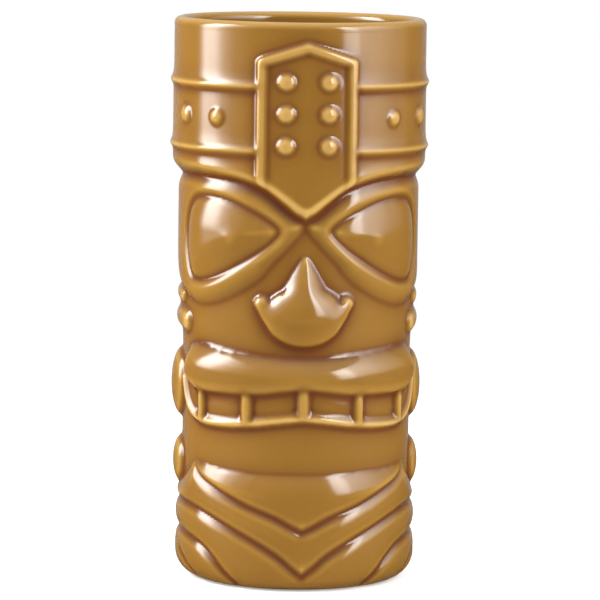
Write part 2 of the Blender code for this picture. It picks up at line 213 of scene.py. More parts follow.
def headdress():
    """The collar and headband in one swelling with a pointed brim, its ribs and studs, and the crest."""
    line = curve(BRIM, 8)
    above = distance(line) * np.where(Z > np.interp(S, line[:, 0], line[:, 1]), 1, -1)
    reach = 1.0 + 1.0 * ease(35, 75, A)
    shown = above > -reach
    band = COLLAR_RISE * swell((above + reach) / (reach + BRIM_SLOPE))
    bead = BRIM_BEAD * bell(above - 2.0, 1.2) * (1 - ease(50, 80, A))
    lean = 0.15 * ease(142.5, 145, Z)
    whole_band = band + bead - lean
    post = curve([(CREST_ANGLE, CREST_FOOT), (CREST_ANGLE, CREST_SHOULDER)], 1)
    roof = curve([(CREST_ANGLE, CREST_SHOULDER), (0, CREST_PEAK)], 1)
    to_frame = np.minimum(distance(post), distance(roof))
    roof_z = CREST_PEAK - (CREST_PEAK - CREST_SHOULDER) * A / CREST_ANGLE
    in_crest = (A < CREST_ANGLE) & (Z < roof_z)
    for z in RIBS.values():
        rib = RIB * bell(Z - z, RIB) + 0.25 * bell(Z - z - 1.0, 1.9)
        whole_band = whole_band + np.where(in_crest, 0, rib)
    whole_band = np.where(in_crest, whole_band + 0.3 * ease(0, 1.0, above), whole_band)
    layer("headdress_brim", shown & (Z < COLLAR_Z), whole_band)
    layer("collar", shown & (Z >= COLLAR_Z), whole_band)
    for name, z in RIBS.items():
        layer(name, (np.abs(Z - z) < RIB_HALF) & ~in_crest, whole_band + OVER)
    layer("crest_panel", shown & in_crest, whole_band + 2 * OVER)
    rise = CREST_FRAME_RISE * dome((CREST_FRAME - to_frame) / 0.8) * ease(-0.2, 1.8, above)
    frame_rise = np.maximum(whole_band + 3 * OVER, band + rise)
    layer("crest_frame", shown & (to_frame < CREST_FRAME), frame_rise)
    studs = [("crest_stud", CREST_STUD_ANGLE, z, *CREST_STUD) for z in CREST_STUD_HEIGHTS]
    for angle, radius in BAND_STUDS:
        studs.append(("headband_stud", angle, BAND_STUD_Z, radius, BAND_STUD_RISE))
    for name, angle, z, radius, rise in studs:
        rho = np.hypot((A - angle) * ARC, Z - z)
        whole_band = whole_band + rise * half_round(rho / radius) + 0.12 * bell(rho, radius * 1.25)
        stud = np.where(rho < radius, whole_band + 4 * OVER, NONE)
        layers[name] = np.maximum(layers.get(name, NONE), stud)


EYE = [(12.9, 102.3), (20, 105.4), (29, 107.9), (40, 110.0), (52, 110.7), (62, 109.8), (68.5, 106.2),
       (71.2, 100.0), (70.2, 93.0), (65.5, 87.8), (58, 86.8), (48, 88.0), (36, 91.1), (23, 95.7),
       (15.0, 99.6)]
SURROUND = [(0.3, 103.2), (5, 105.8), (10.5, 108.5), (16.5, 111.3), (23, 113.4), (35, 115.3),
            (52, 116.4), (70, 116.8), (84, 116.6), (95, 114.5), (99, 107), (98.5, 96), (93, 88),
            (84, 83.4), (70, 80.9), (60, 80.0), (48, 80.9), (35, 83.7), (23, 88.0), (15.6, 92.9),
            (8, 97.5)]
SURROUND_RISE = 1.75
PUPIL = (36, 99.2)
BROW_Z = 103  # where the surrounds meet under the brim's point


def eyes():
    """A pillow of an eye with a small raised pupil, in a broad rounded surround under the brim."""
    eye = inside(curve(EYE, 6, True))
    around = inside(curve(SURROUND, 6, True))
    pupil = 0.4 * bell(np.hypot((A - PUPIL[0]) * ARC, Z - PUPIL[1]), 2.5)
    layer("eye", eye > 0, 0.7 + 0.5 * swell(eye / 1.5) + 1.8 * swell(eye / 9.5) + pupil)
    ring = SURROUND_RISE * swell((around + 0.3) / 4.6) * (0.5 + 0.5 * swell(-eye / 2.2))
    layer("eye_surround", (around > -0.3) & (eye <= 0), ring)


BRIDGE_TOP = 94.8
BULB_Z = 78.0
WING = [(0, 73.2), (5, 73.5), (11, 74.9), (16.0, 77.2), (19.5, 79.6), (21.9, 81.6)]


def nose():
    """A bridge that widens downwards, a round bulb, and a crescent of two wings that curl up."""
    side = np.interp(Z, [76, 79, 82.6, 86.4, 90.7, BRIDGE_TOP], [8.2, 7.9, 7.1, 5.2, 2.8, 0.3])
    height = np.interp(Z, [74, 78, 82, 86, 91, BRIDGE_TOP], [4.4, 4.7, 4.3, 3.5, 1.9, 0.2])
    bridge = height * half_round(S / side) ** 2.1 * ease(74, 77, Z)
    bulb = 5.0 * half_round(np.hypot(S / 11.5, (Z - BULB_Z) / 8.6)) ** 1.2
    spine = distance(curve(WING, 5))
    wing = np.interp(S, [0, 6, 10, 13.4], [3.0, 2.9, 2.6, 2.0])
    wing = wing * half_round(spine / np.interp(S, [0, 5, 10, 13.5], [3.4, 3.3, 2.7, 1.7])) ** 1.2
    bridge = np.where(Z > BRIDGE_TOP, 0, bridge)
    shape = join(join(bridge, bulb, 2.2), wing, 2.4)
    layer("nose", (bridge > 0) | (bulb > 0) | (wing > 0), shape - 0.4 * bell(shape, 1.0))


LIP_TOP = [(-14, 66.1), (0, 65.8), (14, 66.1), (27, 66.8), (41, 67.5), (54, 68.2), (63, 68.4),
           (69, 67.0), (73.5, 63.5), (75, 60)]
LIP_LOW = [(-9.5, 56.6), (0, 57.0), (9.5, 56.6), (24, 55.5), (40, 55.3), (52, 55.2), (60, 55.6),
           (66, 57.2), (71, 59.0), (75, 60)]
JAW = [(-14, 48.6), (0, 49.4), (14, 48.6), (25, 47.7), (40, 47.0), (53, 47.0), (61, 47.9), (67, 50.0),
       (71, 53.4), (74, 58.5)]
UPPER_LIP_RISE = 3.2
LOWER_LIP_RISE = 2.0
LOWER_LIP_HALF = 1.6
LEDGE_RISE = 1.7
DIVIDERS = [(0, 1.8), (28, 1.7), (55.6, 1.6)]  # angle and half width


def mouth():
    """A fat upper lip, a thin lower lip with a ledge behind it, and soft teeth between upright bars."""
    top, low = curve(LIP_TOP, 6), curve(LIP_LOW, 6)
    lip = inside(np.vstack([top, low[::-1]])) > 0
    bulge = (0.1 + 0.9 * swell(distance(top) / 5.8)) * dome((distance(low) + 0.1) / 3.6)
    layer("upper_lip", lip, (UPPER_LIP_RISE + 0.4 * bell(A - 58, 16)) * bulge)
    jaw = distance(curve(JAW, 6))
    layer("lower_lip", jaw < LOWER_LIP_HALF, LOWER_LIP_RISE * bell(jaw, 1.15))
    gap = inside(np.vstack([low, curve(JAW, 6)[::-1]]))
    bars = np.zeros(S.shape)
    to_bar = np.full(S.shape, 9.0)
    for angle, half in DIVIDERS:
        to_bar = np.minimum(to_bar, np.abs(A - angle) * ARC)
        bars = np.maximum(bars, half_round((A - angle) * ARC / half))
    teeth = 0.3 + 0.5 * swell((to_bar - 1.4) / 2.2) + 0.15 * bell(jaw - 4.4, 1.2)
    ledge = LEDGE_RISE * np.clip(1 - jaw / 3.4, 0, 1)
    layer("tooth_row", gap > 0, np.maximum(teeth, ledge))
    layer("tooth_divider", (gap > -0.8) & (bars > 0), 0.6 + 1.6 * bars * dome((gap + 0.8) / 1.5))


# Each disc has its angle, its height above the table, its radius and how far it stands out.
EAR_DISCS = {"ear_plug": (95, 55.5, 10.0, 3.3), "ear_drop": (91.5, 33.3, 7.0, 2.65)}
EAR_ROLLS = {"ear_roll_upper": ([(80, 81.2), (90, 81.6), (103, 81.0)], 2.6, 1.65),
             "ear_roll_lower": ([(74, 74.3), (82, 74.8), (92, 74.8), (106, 73.6)], 3.2, 1.85)}


def ears():
    """Two rolls, a round plug and a smaller drop on each side."""
    for name, (angle, z, radius, rise) in EAR_DISCS.items():
        rho = np.hypot((A - angle) * ARC, Z - z) / radius
        layer(name, rho < 1, rise * half_round(rho))
    for name, (path, half, rise) in EAR_ROLLS.items():
        d = distance(curve(path, 6)) / half
        layer(name, d < 1, rise * half_round(d))


GROOVES = [
    [(0, 16.9), (6, 18.6), (14, 21.0), (29, 24.2), (43, 27.5), (57, 31.0), (64, 34.6)],
    [(0, 4.4), (5, 6.6), (12.5, 10.2), (24, 14.0), (37, 17.4), (51, 20.3), (62, 21.8), (76, 22.4),
     (90, 22.6)],
    [(35.5, 1.5), (45, 7.4), (55, 11.3), (67, 13.1), (78, 14.0), (90, 14.4)],
]
STUB = [(64, 2.2), (71, 6.0), (78, 8.4)]  # a short groove that ends in the skirt panel
SKIRT_TOP = ([0, 20, 45, 60, 64, 72, 80, 90], [32.9, 33.0, 33.6, 34.4, 34.8, 31.2, 28.6, 27.6])
SKIRT_STEEPNESS = ([0, 62, 66, 78, 90], [1, 1, 0.75, 0.85, 1])  # of its top edge, at these angles
SKIRT_RISE = 1.95


def skirt():
    """A pointed bib and rounded chevron bands, parted by grooves. It is the same at the back."""
    arc = FOLD * ARC
    groove = np.minimum.reduce([distance(curve(points, 6), arc=arc) for points in GROOVES])
    stub = distance(curve(STUB, 6), arc=arc)
    under_top = (np.interp(FOLD, *SKIRT_TOP) - Z) * np.interp(FOLD, *SKIRT_STEEPNESS)
    rise = SKIRT_RISE - 0.15 * ease(50, 85, FOLD)
    rounded = 0.2 + 0.42 * swell(groove / 1.9) + 0.38 * swell(groove / 5.0)
    bands = rise * rounded * (1 - 0.4 * bell(stub, 0.9))
    height = np.minimum(bands, rise * (0.15 + 0.85 * swell(under_top / 6.5)))
    first, second = (line_height(points, FOLD) for points in GROOVES[:2])
    third = np.where(FOLD < GROOVES[2][0][0], -HEIGHT, line_height(GROOVES[2], FOLD))
    first = np.where(FOLD > GROOVES[0][-1][0], HEIGHT, first)
    shown = under_top > 0
    layer("bib", shown & (Z > first), height)
    layer("chevron_upper", shown & (Z <= first) & (Z > second), height)
    layer("chevron_lower", shown & (Z <= second) & (Z > third), height)
    layer("skirt_panel", shown & (Z <= third), height)


LOCKS = [(180, 44.0), (153, 54.0), (126, 68.0)]  # the middle and the tip
LOCK_WIDTH = 27
LOCK_TOP = 117.5
LOCK_RISE = 1.55
LOCK_POINT = 0.45  # how fast its end rises beside its tip


def hair():
    """Pointed locks that hang from the brim at the back."""
    lock = np.full(S.shape, NONE)
    for middle, tip in LOCKS:
        across = np.abs(A - middle) * ARC
        d = np.minimum(Z - tip - LOCK_POINT * across, LOCK_TOP - Z)
        d = np.minimum(LOCK_WIDTH / 2 * ARC - across, d)
        lock = np.maximum(lock, np.where(d > 0, LOCK_RISE * swell(d / 3.4), NONE))
    layers["hair_lock"] = lock


for draw in (headdress, eyes, nose, mouth, ears, skirt, hair):
    draw()
names = list(layers)
stack = np.stack([layers[n] for n in names])
feature = stack.argmax(0)
relief = np.maximum(stack.max(0), 0)


# ---------------------------------------------------------------- softening
CAST_BLUR = 0.42  # how far slip casting rounds every edge
GLAZE_BLUR = 0.95  # and how far glaze does where it runs thick
FINE_BLUR = 1.0
POOL_BLUR = 2.4
INNER_BLUR = 7.0  # the inside of the wall follows the relief only this softly
SPREAD_BLUR = 0.9
# How far glaze fills the creases of each feature, and how thick it stays on the edges.
SOFTER = {"nose": 1.0, "upper_lip": 0.6, "crest_stud": 0.8, "headband_stud": 0.6}
COVERED = {"nose": 0.7, "upper_lip": 0.3, "lower_lip": 0.2, "tooth_divider": 0.4, "headdress_brim": 0.3,
           "crest_stud": 0.3, "headband_stud": 0.2, "crest_frame": 0.1}


def mirrored(half):
    """The whole turn from its right half."""
    return np.hstack([half, half[:, HALF - 1:0:-1]])


def blur(field, size):
    """A gaussian blur, size in millimetres."""
    pad = field.shape[0] // 2
    tall = np.vstack([field[pad:0:-1], field, field[-2:-pad - 2:-1]])
    across = np.fft.fftfreq(tall.shape[1], 360.0 / TURNS * ARC)
    along = np.fft.fftfreq(tall.shape[0], ROW)
    kernel = np.exp(-2 * (math.pi * size) ** 2 * (across[None, :] ** 2 + along[:, None] ** 2))
    return np.fft.ifft2(np.fft.fft2(tall) * kernel).real[pad:pad + field.shape[0]]


def spread(weights):
    """How much the wall near each place belongs to these features, by their weights."""
    total = sum(weight * (feature == names.index(name)) for name, weight in weights.items())
    return blur(mirrored(total), SPREAD_BLUR)


cast = blur(mirrored(relief), CAST_BLUR)
glaze_fine = blur(mirrored(relief), FINE_BLUR)
glaze_pool = blur(mirrored(relief), POOL_BLUR)
inner_swell = blur(mirrored(relief), INNER_BLUR)
# Glaze runs thin where the surface stands above its surroundings and pools where it lies below them.
edge = cast - glaze_fine
edge = np.sign(edge) * np.maximum(np.abs(edge) - 0.035, 0)
edge = np.where(edge > 0, edge * (1 - spread(COVERED)), edge)
softness = np.clip(spread(SOFTER) + mirrored(bell(np.hypot(S, Z - BROW_Z), 2.5)), 0, 1)
cast += (blur(mirrored(relief), GLAZE_BLUR) - cast) * softness
thinness = 0.5 + 0.5 * np.tanh(3.2 * edge + 0.8 * np.minimum(glaze_fine - glaze_pool, 0))
# A band just below each rib, outside the crest, is painted darker: painted shade under the ribs.
shade_under_ribs = sum(bell(Z - z + 2.0, 1.3) for z in RIBS.values()) * ease(CREST_ANGLE, CREST_ANGLE + 2, A)
thinness -= 0.17 * mirrored(shade_under_ribs)


def at(field, u, z):
    """A field of the whole wall at fractional columns and at heights."""
    row = np.clip(z / ROW, 0, field.shape[0] - 1.001)
    i = row.astype(int)
    j = np.floor(u).astype(int)
    f, g = row - i, u - j
    j0, j1 = j % TURNS, (j + 1) % TURNS
    low = field[i, j0] * (1 - g) + field[i, j1] * g
    high = field[i + 1, j0] * (1 - g) + field[i + 1, j1] * g
    return low * (1 - f) + high * f


# ---------------------------------------------------------------- which face belongs to which piece
# A face belongs to the nearest of its feature's pieces, so each piece has a place.
PLACES = {
    "vessel": {"vessel": (0, 40)},
    "collar": {"collar": (0, 140)},
    "bib": {"bib_front": (0, 25), "bib_back": (180, 25)},
    "nose": {"nose": (0, 80)},
}
SINGLE = ("headdress_brim", "headband_rib_upper", "headband_rib_lower", "crest_frame", "crest_panel",
          "upper_lip", "lower_lip", "tooth_row", "chevron_upper", "chevron_lower")
PAIRED = ("eye", "eye_surround", "ear_roll_upper", "ear_roll_lower", "ear_plug", "ear_drop",
          "skirt_panel")
for single in SINGLE:
    PLACES[single] = {single: (0, 100)}
for paired in PAIRED:
    PLACES[paired] = {paired + "_left": (-90, 50), paired + "_right": (90, 50)}
CREST_STUDS = [(side * CREST_STUD_ANGLE, z) for z in CREST_STUD_HEIGHTS for side in (-1, 1)]
PLACES["crest_stud"] = {f"crest_stud_{i + 1}": place for i, place in enumerate(CREST_STUDS)}
RIGHT_STUDS = [angle for angle, radius in BAND_STUDS]
ALL_STUDS = RIGHT_STUDS + [-angle for angle in RIGHT_STUDS[-2::-1]]
BARS = [-55.6, -28, 0, 28, 55.6]
LOCK_MIDDLES = [126, 153, 180, -153, -126]
NUMBERED = {
    "headband_stud": (ALL_STUDS, BAND_STUD_Z),
    "tooth_divider": (BARS, 53),
    "hair_lock": (LOCK_MIDDLES, 90),
}
for several, (angles, z) in NUMBERED.items():
    PLACES[several] = {f"{several}_{i + 1}": (angle, z) for i, angle in enumerate(angles)}

# Rows of the outer wall, closer together on the rounded base.
round_rows = BASE_ROUND * (1 - np.cos(np.linspace(0.06, math.pi / 2, BASE_ROWS)))
wall_z = np.concatenate([round_rows[:-1], np.arange(BASE_ROUND + 0.3, HEIGHT - 2.2, ROW)])
mid_z = (wall_z[1:] + wall_z[:-1]) / 2
columns = np.arange(TURNS)
face_angle = (columns + 0.5) * 360.0 / TURNS
face_angle = np.where(face_angle > 180, face_angle - 360, face_angle)
nearest_row = np.rint(mid_z / ROW).astype(int)
nearest_column = np.where(columns < HALF, columns, TURNS - 1 - columns)
face_feature = feature[nearest_row][:, nearest_column]
pieces = []
face_piece = np.zeros(face_feature.shape, int)
for number, name in enumerate(names):
    places = np.array(list(PLACES[name].values()), float)
    turn_away = (face_angle[None, :] - places[:, :1] + 180) % 360 - 180
    away = (turn_away[:, None, :] * ARC) ** 2 + (mid_z[None, :, None] - places[:, 1][:, None, None]) ** 2
    mine = face_feature == number
    face_piece[mine] = (len(pieces) + away.argmin(0))[mine]
    pieces += list(PLACES[name])

# The pieces' borders follow the grid in steps, so the places along them are drawn straight: each moves
# by (du, dv) of a step towards the middle of its two neighbours on the border.
BORDER_PASSES = 6
FARTHEST = 0.45
below, left_of = face_piece[:-1], np.roll(face_piece, 1, 1)
rows = len(wall_z)
level = np.zeros((rows, TURNS), bool)
level[1:-1] = below != face_piece[1:]
upright = np.zeros((rows, TURNS), bool)
upright[:-1] = left_of != face_piece
down_one = np.vstack([np.zeros((1, TURNS), bool), upright[:-1]])
count = level + np.roll(level, 1, 1).astype(int) + upright + down_one
du = np.zeros((rows, TURNS))
dv = np.zeros((rows, TURNS))
for _ in range(BORDER_PASSES):
    sum_u = (level * (np.roll(du, -1, 1) + 1) + np.roll(level, 1, 1) * (np.roll(du, 1, 1) - 1)
             + upright * np.roll(du, -1, 0) + down_one * np.roll(du, 1, 0))
    sum_v = (level * np.roll(dv, -1, 1) + np.roll(level, 1, 1) * np.roll(dv, 1, 1)
             + upright * (np.roll(dv, -1, 0) + 1) + down_one * (np.roll(dv, 1, 0) - 1))
    du = np.where(count == 2, np.clip((du + sum_u / 2) / 2, -FARTHEST, FARTHEST), 0)
    dv = np.where(count == 2, np.clip((dv + sum_v / 2) / 2, -FARTHEST, FARTHEST), 0)
U = columns + du
V = np.interp(np.arange(rows)[:, None] + dv, np.arange(rows), wall_z)


# ---------------------------------------------------------------- the surface as a grid of places
def base_curve(z):
    """How far the wall has come out of the foot: 0 at the table, 1 above the rounded base."""
    return half_round((BASE_ROUND - np.clip(z, 0, BASE_ROUND)) / BASE_ROUND)


def ring_places(radius, u, z):
    """Places round the mug at these radii, columns and heights, in metres."""
    turn = u * 2 * math.pi / TURNS
    return np.stack([radius * np.sin(turn), -radius * np.cos(turn), z], -1) * MM


def profile(radii, heights):
    """Rows of plain rings."""
    radii = np.array(radii, float)[:, None] + np.zeros(TURNS)
    return ring_places(radii, columns + 0 * radii, np.array(heights, float)[:, None] + 0 * radii)


def lip_ring(radius):
    """The rolled lip, or the hidden face inside it."""
    return profile(LIP_OUTSIDE - LIP_R + radius * np.cos(lip), HEIGHT - LIP_R + radius * np.sin(lip))


front = FOOT_R + (WALL_R - FOOT_R + at(cast, U, V)) * base_curve(V)
behind = FOOT_R - BACK + (WALL_R - FOOT_R) * base_curve(V) + BAND_BACK * ease(*BAND_BACK_Z, V)
lip = np.linspace(0, math.pi, LIP_ROWS)
inner_z = np.linspace(HEIGHT - 3.5, 2 * FLOOR_Z, INNER_ROWS)[:, None] + np.zeros(TURNS)
inner_u = columns + 0 * inner_z
inner_r = WALL_R - WALL + np.minimum(at(inner_swell, inner_u, inner_z), COLLAR_RISE - 0.3)
fillet = np.linspace(0, math.pi / 2, FILLET_ROWS)[1:, None] + np.zeros(TURNS)
fillet_r = inner_r[-1] - FLOOR_Z * (1 - np.cos(fillet))
underside = profile(*UNDERSIDE)
inside_cup = np.concatenate([
    ring_places(inner_r, inner_u, inner_z),
    ring_places(fillet_r, columns + 0 * fillet, 2 * FLOOR_Z - FLOOR_Z * np.sin(fillet)),
    profile(CUP_FLOOR, [FLOOR_Z] * len(CUP_FLOOR)),
])
outer_skin = [ring_places(front, U, V), lip_ring(LIP_R)]
backs = [ring_places(behind, U, V), lip_ring(LIP_R - LIP_SKIN)]
shown_places = np.concatenate([underside, *outer_skin, inside_cup])
hidden_places = np.concatenate([underside, *backs, inside_cup])
wall_start = len(underside)
lip_start = wall_start + rows
thin = np.full(shown_places.shape[:2], 0.5)
thin[wall_start:lip_start] = at(thinness, U, V)
thin[lip_start:lip_start + len(lip)] += 0.3 * np.sin(lip)[:, None]
VESSEL = pieces.index("vessel")
COLLAR = pieces.index("collar")
owner = np.full((len(shown_places) - 1, TURNS), VESSEL)
owner[wall_start:lip_start - 1] = face_piece
owner[lip_start - 1:lip_start + len(lip) - 2] = COLLAR

slope_u = np.roll(shown_places, -1, 1) - np.roll(shown_places, 1, 1)
slope_v = np.gradient(shown_places, axis=0)
normals = np.cross(slope_u, slope_v)
normals /= np.linalg.norm(normals, axis=2, keepdims=True) + 1e-12

# ---------------------------------------------------------------- solids cut from the grid
SHOWN = np.arange(thin.size).reshape(thin.shape)
HIDDEN = SHOWN + thin.size
places = np.vstack([shown_places.reshape(-1, 3), hidden_places.reshape(-1, 3),
                    shown_places[0].mean(0), shown_places[-1].mean(0)])
thin_values = np.concatenate([thin.ravel(), thin.ravel(), [0.5, 0.5]])
normal_values = np.vstack([normals.reshape(-1, 3), np.zeros((thin.size + 2, 3))])


def corners(ids):
    """The four corners of every face of the grid, anticlockwise seen from outside."""
    return np.stack([ids[:-1], np.roll(ids, -1, 1)[:-1], np.roll(ids, -1, 1)[1:], ids[1:]], -1)


def sides(mask):
    """The faces round the edge of a part of the skin, from its front down to its back."""
    blank = np.zeros((1, TURNS), bool)
    beyond = [np.vstack([blank, mask[:-1]]), np.roll(mask, -1, 1),
              np.vstack([mask[1:], blank]), np.roll(mask, 1, 1)]
    out = []
    for k in range(4):
        ends = mask & ~beyond[k]
        after = (k + 1) % 4
        shown, hidden = corners(SHOWN)[ends], corners(HIDDEN)[ends]
        out.append(np.stack([shown[:, after], shown[:, k], hidden[:, k], hidden[:, after]], -1))
    return np.vstack(out)


def backs(mask):
    """The hidden faces behind a part of the skin. Whole squares of them are merged into one."""
    tall = mask.shape[0] // BLOCK
    blocks = mask[:tall * BLOCK].reshape(tall, BLOCK, TURNS // BLOCK, BLOCK).all((1, 3))
    run = np.arange(BLOCK)
    step_i = np.concatenate([0 * run, run, 0 * run + BLOCK, BLOCK - run])
    step_j = np.concatenate([run, 0 * run + BLOCK, BLOCK - run, 0 * run])
    i, j = np.nonzero(blocks)
    merged = HIDDEN[i[:, None] * BLOCK + step_i, (j[:, None] * BLOCK + step_j) % TURNS]
    rest = mask.copy()
    rest[:tall * BLOCK] &= ~blocks.repeat(BLOCK, 0).repeat(BLOCK, 1)
    return merged, corners(HIDDEN)[rest]


def solid(name, faces):
    """One closed mesh from arrays of faces, with the glaze's thinness and the whole skin's normals."""
    loops = np.concatenate([f.ravel() for f in faces])
    counts = np.concatenate([np.full(len(f), f.shape[1]) for f in faces])
    kept, loops = np.unique(loops, return_inverse=True)
    me = bpy.data.meshes.new(name)
    me.vertices.add(len(kept))
    me.vertices.foreach_set("co", places[kept].astype(np.float32).ravel())
    me.loops.add(len(loops))
    me.loops.foreach_set("vertex_index", loops.astype(np.int32))
    me.polygons.add(len(counts))
    me.polygons.foreach_set("loop_start", (np.cumsum(counts) - counts).astype(np.int32))
    me.polygons.foreach_set("loop_total", counts.astype(np.int32))
    me.update(calc_edges=True)
    me.shade_smooth()
    glaze_here = me.attributes.new("glaze", "FLOAT", "POINT")
    glaze_here.data.foreach_set("value", thin_values[kept].astype(np.float32))
    loop_normals = normal_values[kept][loops]
    loop_normals[faces[0].size:] = 0
    me.normals_split_custom_set(loop_normals)
    ob = bpy.data.objects.new(name, me)
    bpy.context.scene.collection.objects.link(ob)
    return ob


def skin_piece(number, name):
    """A feature of the relief, closed behind."""
    mask = owner == number
    merged, rest = backs(mask)
    return solid(name, [corners(SHOWN)[mask], sides(mask), merged[:, ::-1], rest[:, ::-1]])


def vessel_piece():
    """The vessel, which runs on behind every feature."""
    mask = owner == VESSEL
    merged, rest = backs(~mask)
    foot = np.stack([np.full(TURNS, 2 * thin.size), np.roll(SHOWN[0], -1), SHOWN[0]], -1)
    floor_fan = np.stack([np.full(TURNS, 2 * thin.size + 1), SHOWN[-1], np.roll(SHOWN[-1], -1)], -1)
    return solid("vessel_glazed", [corners(SHOWN)[mask], sides(mask), merged, rest, foot, floor_fan])


# ---------------------------------------------------------------- materials
GLAZE_IOR = 1.55
GLAZE_ROUGHNESS = 0.095
CLAY_ROUGHNESS = 0.8


def srgb(*colour):
    """A linear colour from 8-bit sRGB values."""
    return [c / 255 / 12.92 if c <= 10 else ((c / 255 + 0.055) / 1.055) ** 2.4 for c in colour]


def set_ramp(node, stops):
    """Fills a colour ramp from (position, colour) stops. A number stands for a grey."""
    ramp = node.color_ramp
    while len(ramp.elements) < len(stops):
        ramp.elements.new(0.5)
    for element, (position, colour) in zip(ramp.elements, stops):
        element.position = position
        element.color = (*(colour if isinstance(colour, list) else [colour] * 3), 1)
    return node


def math_node(nt, operation, a, b, c=None):
    """A Math node of links and numbers."""
    node = nt.nodes.new("ShaderNodeMath")
    node.operation = operation
    for socket, value in zip(node.inputs, (a, b, c)):
        if isinstance(value, (int, float)):
            socket.default_value = value
        elif value is not None:
            nt.links.new(value, socket)
    return node.outputs[0]


def noise_node(nt, scale, detail):
    """Noise in the object's own space."""
    node = nt.nodes.new("ShaderNodeTexNoise")
    node.inputs["Scale"].default_value = scale
    node.inputs["Detail"].default_value = detail
    place = nt.nodes.new("ShaderNodeTexCoord")
    nt.links.new(place.outputs["Object"], node.inputs["Vector"])
    return node.outputs["Fac"]


GLAZE_COLOURS = [(0.05, srgb(90, 46, 22)), (0.3, srgb(109, 68, 28)), (0.5, srgb(127, 90, 33)),
                 (0.7, srgb(153, 114, 47)), (0.95, srgb(201, 164, 98))]
GLAZE_SHIFT = -0.05  # moves the whole glaze along its colours
CLAY_COLOURS = [(0.35, srgb(188, 164, 130)), (0.65, srgb(222, 204, 176))]


def glaze(name):
    """Amber glaze: brown where it pools, straw gold where it runs thin over an edge."""
    m = bpy.data.materials.new(name)
    m.use_nodes = True
    nt = m.node_tree
    p = nt.nodes["Principled BSDF"]
    depth = nt.nodes.new("ShaderNodeAttribute")
    depth.attribute_name = "glaze"
    cloud = math_node(nt, "MULTIPLY_ADD", noise_node(nt, 45, 3), 0.07, GLAZE_SHIFT)
    fleck = math_node(nt, "MULTIPLY_ADD", noise_node(nt, 700, 2), 0.03, cloud)
    thinness_here = math_node(nt, "ADD", depth.outputs["Fac"], fleck)
    ramp = set_ramp(nt.nodes.new("ShaderNodeValToRGB"), GLAZE_COLOURS)
    ramp.color_ramp.interpolation = "B_SPLINE"
    nt.links.new(thinness_here, ramp.inputs[0])
    nt.links.new(ramp.outputs[0], p.inputs["Base Color"])
    roughness = math_node(nt, "MULTIPLY_ADD", noise_node(nt, 90, 2), 0.05, GLAZE_ROUGHNESS)
    nt.links.new(roughness, p.inputs["Roughness"])
    p.inputs["IOR"].default_value = GLAZE_IOR
    return m


def stoneware():
    """Bare, matt, pale clay with fine grain."""
    m = bpy.data.materials.new("bare_stoneware")
    m.use_nodes = True
    nt = m.node_tree
    p = nt.nodes["Principled BSDF"]
    ramp = set_ramp(nt.nodes.new("ShaderNodeValToRGB"), CLAY_COLOURS)
    grain = noise_node(nt, 900, 3)
    nt.links.new(grain, ramp.inputs[0])
    nt.links.new(ramp.outputs[0], p.inputs["Base Color"])
    bump = nt.nodes.new("ShaderNodeBump")
    bump.inputs["Strength"].default_value = 0.25
    bump.inputs["Distance"].default_value = 0.0002
    nt.links.new(grain, bump.inputs["Height"])
    nt.links.new(bump.outputs[0], p.inputs["Normal"])
    p.inputs["Roughness"].default_value = CLAY_ROUGHNESS
    return m


finishes = {"amber_glaze": glaze("amber_glaze"), "thin_glaze": glaze("thin_glaze")}
slots = {part["node"]: part["material_slot"] for part in frame["record"]["subparts"]}
for number, name in enumerate(pieces):
    piece = vessel_piece() if number == VESSEL else skin_piece(number, name + "_glazed")
    node = "vessel" if number == COLLAR else name
    piece.data.materials.append(finishes[slots[node]])
    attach(piece, "root")
    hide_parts(node)
foot_ring = bpy.data.objects["foot_ring"]
for s in foot_ring.material_slots:
    s.material = stoneware()


# ---------------------------------------------------------------- stage, light and camera
YAW = 3.6  # degrees that the camera and the lights are turned round the mug
COLOUR_A, COLOUR_B, COLOUR_RESULT = 6, 7, 2  # the Mix node's colour sockets, which share their names
PANEL_FOOT = 0.03  # the panels' lower and upper edges, in metres
PANEL_TOP = 0.62
FLOOR_REACH = 0.7
CAMERA_AWAY = 1.1915482
CAMERA_HEIGHT = 0.2153504
CAMERA_PITCH, CAMERA_ROLL, CAMERA_PAN = 0.1139, 0.0133, 0.0007  # radians
LENS = 251.394
SENSOR = 36


def flat_stage(name, places_at, material):
    """A stage quad with its UVs."""
    me = bpy.data.meshes.new(name)
    me.from_pydata(places_at, [], [(0, 1, 2, 3)])
    me.uv_layers.new(name="UVMap").data.foreach_set("uv", [0, 0, 1, 0, 1, 1, 0, 1])
    me.materials.append(material)
    ob = bpy.data.objects.new(name, me)
    bpy.context.scene.collection.objects.link(ob)
    return ob


